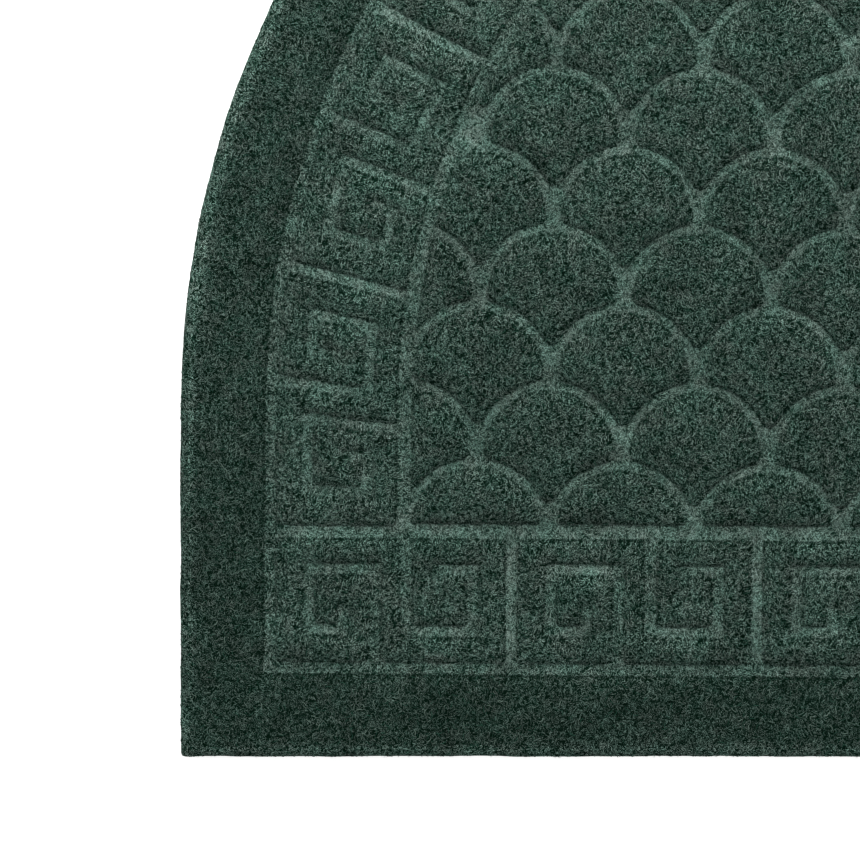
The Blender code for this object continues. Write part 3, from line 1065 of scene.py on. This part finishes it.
# Patches of darker and paler strands, each about 9 mm across
PATCH = {"Scale": 110.0, "Detail": 1.0}
PATCH_LEANING = 0.4
TAKEN_BY_PRESSING = 0.85
REACH = 4 * MM
LEAST_HEIGHT = 0.2 * MM
SAME_POINT = 0.001 * MM
JUST_BELOW_ZERO = -1e-9
STRANDS_PER_SQUARE_METRE = 0.28e6
FIRST_SEED = 7
FIBRE_SHADES = (
    {"name": "dark fibre", "colour": "#19372B", "above": -9.00},
    {"name": "green fibre", "colour": "#2C5445", "above": 0.35},
    {"name": "grey fibre", "colour": "#4C645A", "above": 0.68},
    {"name": "pale fibre", "colour": "#7A9286", "above": 0.88},
)
FIBRE_PIECES = (
    {"name": "fibres_margin", "zone": MARGIN, "side": 0.0, "length": STRAND_LENGTH},
    {"name": "fibres_key_left", "zone": KEY_BAND, "side": -1.0, "length": STRAND_LENGTH},
    {"name": "fibres_key_right", "zone": KEY_BAND, "side": 1.0, "length": STRAND_LENGTH},
    {"name": "fibres_scales_left", "zone": SCALES, "side": -1.0, "length": STRAND_LENGTH},
    {"name": "fibres_scales_right", "zone": SCALES, "side": 1.0, "length": STRAND_LENGTH},
    {"name": "fibres_edge", "zone": EDGE, "side": 0.0, "length": STRAND_LENGTH / 2},
)


def random_number(tree, low, high, seed):
    """A number of its own for each strand."""
    values = {2: low, 3: high, "Seed": seed}
    return add(tree, "FunctionNodeRandomValue", values=values, data_type="FLOAT").outputs[1]


def scattered_roots(tree, inputs, felt_now):
    """Points on the chosen part of the felt, fewer where it is pressed, and their normals."""
    zone = add(tree, "GeometryNodeInputNamedAttribute", values={"Name": "zone"}, data_type="INT")
    links = {2: zone.outputs["Attribute"], 3: inputs["Zone"]}
    in_zone = add(tree, "FunctionNodeCompare", links, data_type="INT", operation="EQUAL")
    place = add(tree, "GeometryNodeInputPosition").outputs[0]
    x = add(tree, "ShaderNodeSeparateXYZ", {0: place}).outputs["X"]
    on_side = maths(tree, "GREATER_THAN", maths(tree, "MULTIPLY", x, inputs["Side"]), JUST_BELOW_ZERO)
    pressed = add(tree, "GeometryNodeInputNamedAttribute", values={"Name": "pressed"})
    left = maths(tree, "MULTIPLY_ADD", pressed.outputs["Attribute"], -TAKEN_BY_PRESSING, 1.0)
    scatter = add(
        tree,
        "GeometryNodeDistributePointsOnFaces",
        {
            "Mesh": felt_now,
            "Selection": maths(tree, "MULTIPLY", in_zone.outputs[0], on_side),
            "Density": maths(tree, "MULTIPLY", inputs["Strands per square metre"], left),
            "Seed": inputs["Seed"],
        },
        distribute_method="RANDOM",
    )
    return scatter.outputs["Points"], scatter.outputs["Normal"]


def captured_choices(tree, points, normal):
    """Each strand's place, direction, size, bends and shade, kept for all of its points."""
    sideways = add(
        tree,
        "FunctionNodeRandomValue",
        values={0: (-1, -1, -1), 1: (1, 1, 1), "Seed": 1},
        data_type="FLOAT_VECTOR",
    )
    along = vectors(tree, "NORMALIZE", vectors(tree, "CROSS_PRODUCT", normal, sideways.outputs[0]))
    root = add(tree, "GeometryNodeInputPosition").outputs[0]
    patch = add(tree, "ShaderNodeTexNoise", {"Vector": root}, PATCH)
    leaning = maths(tree, "MULTIPLY_ADD", patch.outputs[0], 2 * PATCH_LEANING, -PATCH_LEANING)
    choices = {
        "root": ("VECTOR", root),
        "normal": ("VECTOR", normal),
        "along": ("VECTOR", along),
        "bend": ("FLOAT", random_number(tree, *BEND, 2)),
        "swing": ("FLOAT", random_number(tree, *SWING, 3)),
        "size": ("FLOAT", random_number(tree, *SIZE, 4)),
        "shade": ("FLOAT", maths(tree, "ADD", random_number(tree, 0.0, 1.0, 5), leaning)),
        "stands": ("FLOAT", random_number(tree, 0.0, 1.0, 6)),
    }
    capture = add(tree, "GeometryNodeCaptureAttribute", {"Geometry": points}, domain="POINT")
    for name, (kind, source) in choices.items():
        capture.capture_items.new(kind, name)
        tree.links.new(source, capture.inputs[name])
    return capture


def strand_places(tree, inputs, kept, felt_now):
    """Where each point of a strand lies on the felt, and how thick the strand is there."""
    share = add(tree, "GeometryNodeSplineParameter").outputs["Factor"]
    run = maths(tree, "MULTIPLY_ADD", share, 2.0, -1.0)
    square = maths(tree, "MULTIPLY", run, run)
    half_length = maths(tree, "MULTIPLY", inputs["Strand length"], 0.5)
    half_length = maths(tree, "MULTIPLY", half_length, kept["size"])
    bow = maths(tree, "MULTIPLY", kept["bend"], maths(tree, "SUBTRACT", square, BOW_BALANCE))
    wave = maths(tree, "MULTIPLY", kept["swing"], run)
    wave = maths(tree, "MULTIPLY", wave, maths(tree, "SUBTRACT", square, 1.0))
    forward = scaled(tree, kept["along"], maths(tree, "MULTIPLY", run, half_length))
    side = vectors(tree, "CROSS_PRODUCT", kept["normal"], kept["along"])
    across = scaled(tree, side, maths(tree, "MULTIPLY", maths(tree, "ADD", bow, wave), half_length))
    flat = vectors(tree, "ADD", kept["root"], vectors(tree, "ADD", forward, across))

    down = scaled(tree, kept["normal"], -1.0)
    above = vectors(tree, "SUBTRACT", flat, scaled(tree, down, REACH))
    hit = add(
        tree,
        "GeometryNodeRaycast",
        {"Target Geometry": felt_now, "Source Position": above, "Ray Direction": down},
        {"Ray Length": 3 * REACH},
    )
    landed = add(
        tree,
        "GeometryNodeSwitch",
        {"Switch": hit.outputs["Is Hit"], "False": flat, "True": hit.outputs["Hit Position"]},
        input_type="VECTOR",
    ).outputs[0]
    middle = maths(tree, "SUBTRACT", 1.0, square)
    arched = maths(tree, "MULTIPLY_ADD", middle, MIDDLE_LIFT, END_DIP)
    rise = maths(tree, "MULTIPLY", inputs["Lift"], arched)
    standing = maths(tree, "LESS_THAN", kept["stands"], inputs["Share that stands off"])
    off = maths(tree, "MULTIPLY", half_length, STANDING_SLOPE)
    off = maths(tree, "MULTIPLY", maths(tree, "MULTIPLY", share, share), off)
    rise = maths(tree, "ADD", rise, maths(tree, "MULTIPLY", standing, off))
    place = vectors(tree, "ADD", landed, scaled(tree, kept["normal"], rise))
    place = vectors(tree, "MAXIMUM", place, (-1.0, -1.0, LEAST_HEIGHT))
    thick = maths(tree, "MULTIPLY", maths(tree, "MULTIPLY", middle, MIDDLE_THICKNESS), kept["size"])
    return place, thick


def fibre_tree(shades):
    """Strands over one zone of the felt. They end in a point at both ends."""
    tree = bpy.data.node_groups.new("fibres on felt", "GeometryNodeTree")
    tree.is_modifier = True
    group = tree.nodes.new("NodeGroupInput")
    inputs = {}
    identifiers = {}
    kinds = {
        "Felt": "NodeSocketObject",
        "Zone": "NodeSocketInt",
        "Side": "NodeSocketFloat",
        "Strands per square metre": "NodeSocketFloat",
        "Strand length": "NodeSocketFloat",
        "Strand thickness": "NodeSocketFloat",
        "Lift": "NodeSocketFloat",
        "Share that stands off": "NodeSocketFloat",
        "Seed": "NodeSocketInt",
    }
    for name, kind in kinds.items():
        socket = tree.interface.new_socket(name, in_out="INPUT", socket_type=kind)
        identifiers[name] = socket.identifier
        inputs[name] = group.outputs[name]
    tree.interface.new_socket("Fibres", in_out="OUTPUT", socket_type="NodeSocketGeometry")

    felt_now = add(tree, "GeometryNodeObjectInfo", {"Object": inputs["Felt"]}).outputs["Geometry"]
    capture = captured_choices(tree, *scattered_roots(tree, inputs, felt_now))
    line = add(tree, "GeometryNodeCurvePrimitiveLine").outputs[0]
    line = add(tree, "GeometryNodeResampleCurve", {"Curve": line}, {"Count": STRAND_POINTS})
    line = line.outputs[0]
    links = {"Points": capture.outputs["Geometry"], "Instance": line}
    strands = add(tree, "GeometryNodeInstanceOnPoints", links).outputs[0]
    strands = add(tree, "GeometryNodeRealizeInstances", {0: strands}).outputs[0]
    place, thick = strand_places(tree, inputs, capture.outputs, felt_now)
    strands = add(tree, "GeometryNodeSetPosition", {"Geometry": strands, "Position": place}).outputs[0]
    radius = maths(tree, "MULTIPLY", inputs["Strand thickness"], 0.5)
    ring = add(tree, "GeometryNodeCurvePrimitiveCircle", {"Radius": radius}, {"Resolution": STRAND_SIDES})
    links = {"Curve": strands, "Profile Curve": ring.outputs[0], "Scale": thick}
    strands = add(tree, "GeometryNodeCurveToMesh", links).outputs[0]
    links, merging = {"Geometry": strands}, {"Distance": SAME_POINT}
    strands = add(tree, "GeometryNodeMergeByDistance", links, merging).outputs[0]
    strands = add(tree, "GeometryNodeSetShadeSmooth", {0: strands}).outputs[0]
    strands = add(tree, "GeometryNodeRealizeInstances", {0: strands}).outputs[0]
    for row, shade in zip(FIBRE_SHADES, shades):
        chosen = maths(tree, "GREATER_THAN", capture.outputs["shade"], row["above"])
        links = {"Geometry": strands, "Selection": chosen}
        strands = add(tree, "GeometryNodeSetMaterial", links, {"Material": shade}).outputs[0]
    result = tree.nodes.new("NodeGroupOutput")
    tree.links.new(strands, result.inputs[0])
    return tree, identifiers


def grown_fibres(tree, identifiers, piece, seed):
    """The strands of one zone as a plain mesh."""
    holder = bpy.data.objects.new("holder", bpy.data.meshes.new("holder"))
    bpy.context.scene.collection.objects.link(holder)
    modifier = holder.modifiers.new("fibres", "NODES")
    modifier.node_group = tree
    values = {
        "Felt": felt,
        "Zone": piece["zone"],
        "Side": piece["side"],
        "Strands per square metre": STRANDS_PER_SQUARE_METRE,
        "Strand length": piece["length"],
        "Strand thickness": STRAND_THICKNESS,
        "Lift": STRAND_LIFT,
        "Share that stands off": SHARE_STANDING_OFF,
        "Seed": seed,
    }
    for name, value in values.items():
        modifier[identifiers[name]] = value
    evaluated = holder.evaluated_get(bpy.context.evaluated_depsgraph_get())
    mesh = bpy.data.meshes.new_from_object(evaluated)
    mesh.name = piece["name"]
    bpy.data.objects.remove(holder)
    fibres = bpy.data.objects.new(piece["name"], mesh)
    bpy.context.scene.collection.objects.link(fibres)
    return fibres


shades = [
    principled(row["name"], row["colour"], 0.85, IOR=1.58, Specular_IOR_Level=0.05)[0]
    for row in FIBRE_SHADES
]
tree, identifiers = fibre_tree(shades)
fibre_pieces = [
    grown_fibres(tree, identifiers, piece, FIRST_SEED + number)
    for number, piece in enumerate(FIBRE_PIECES)
]
for fibres in fibre_pieces:
    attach(fibres, "root")

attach(felt, "root")
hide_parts("mat")
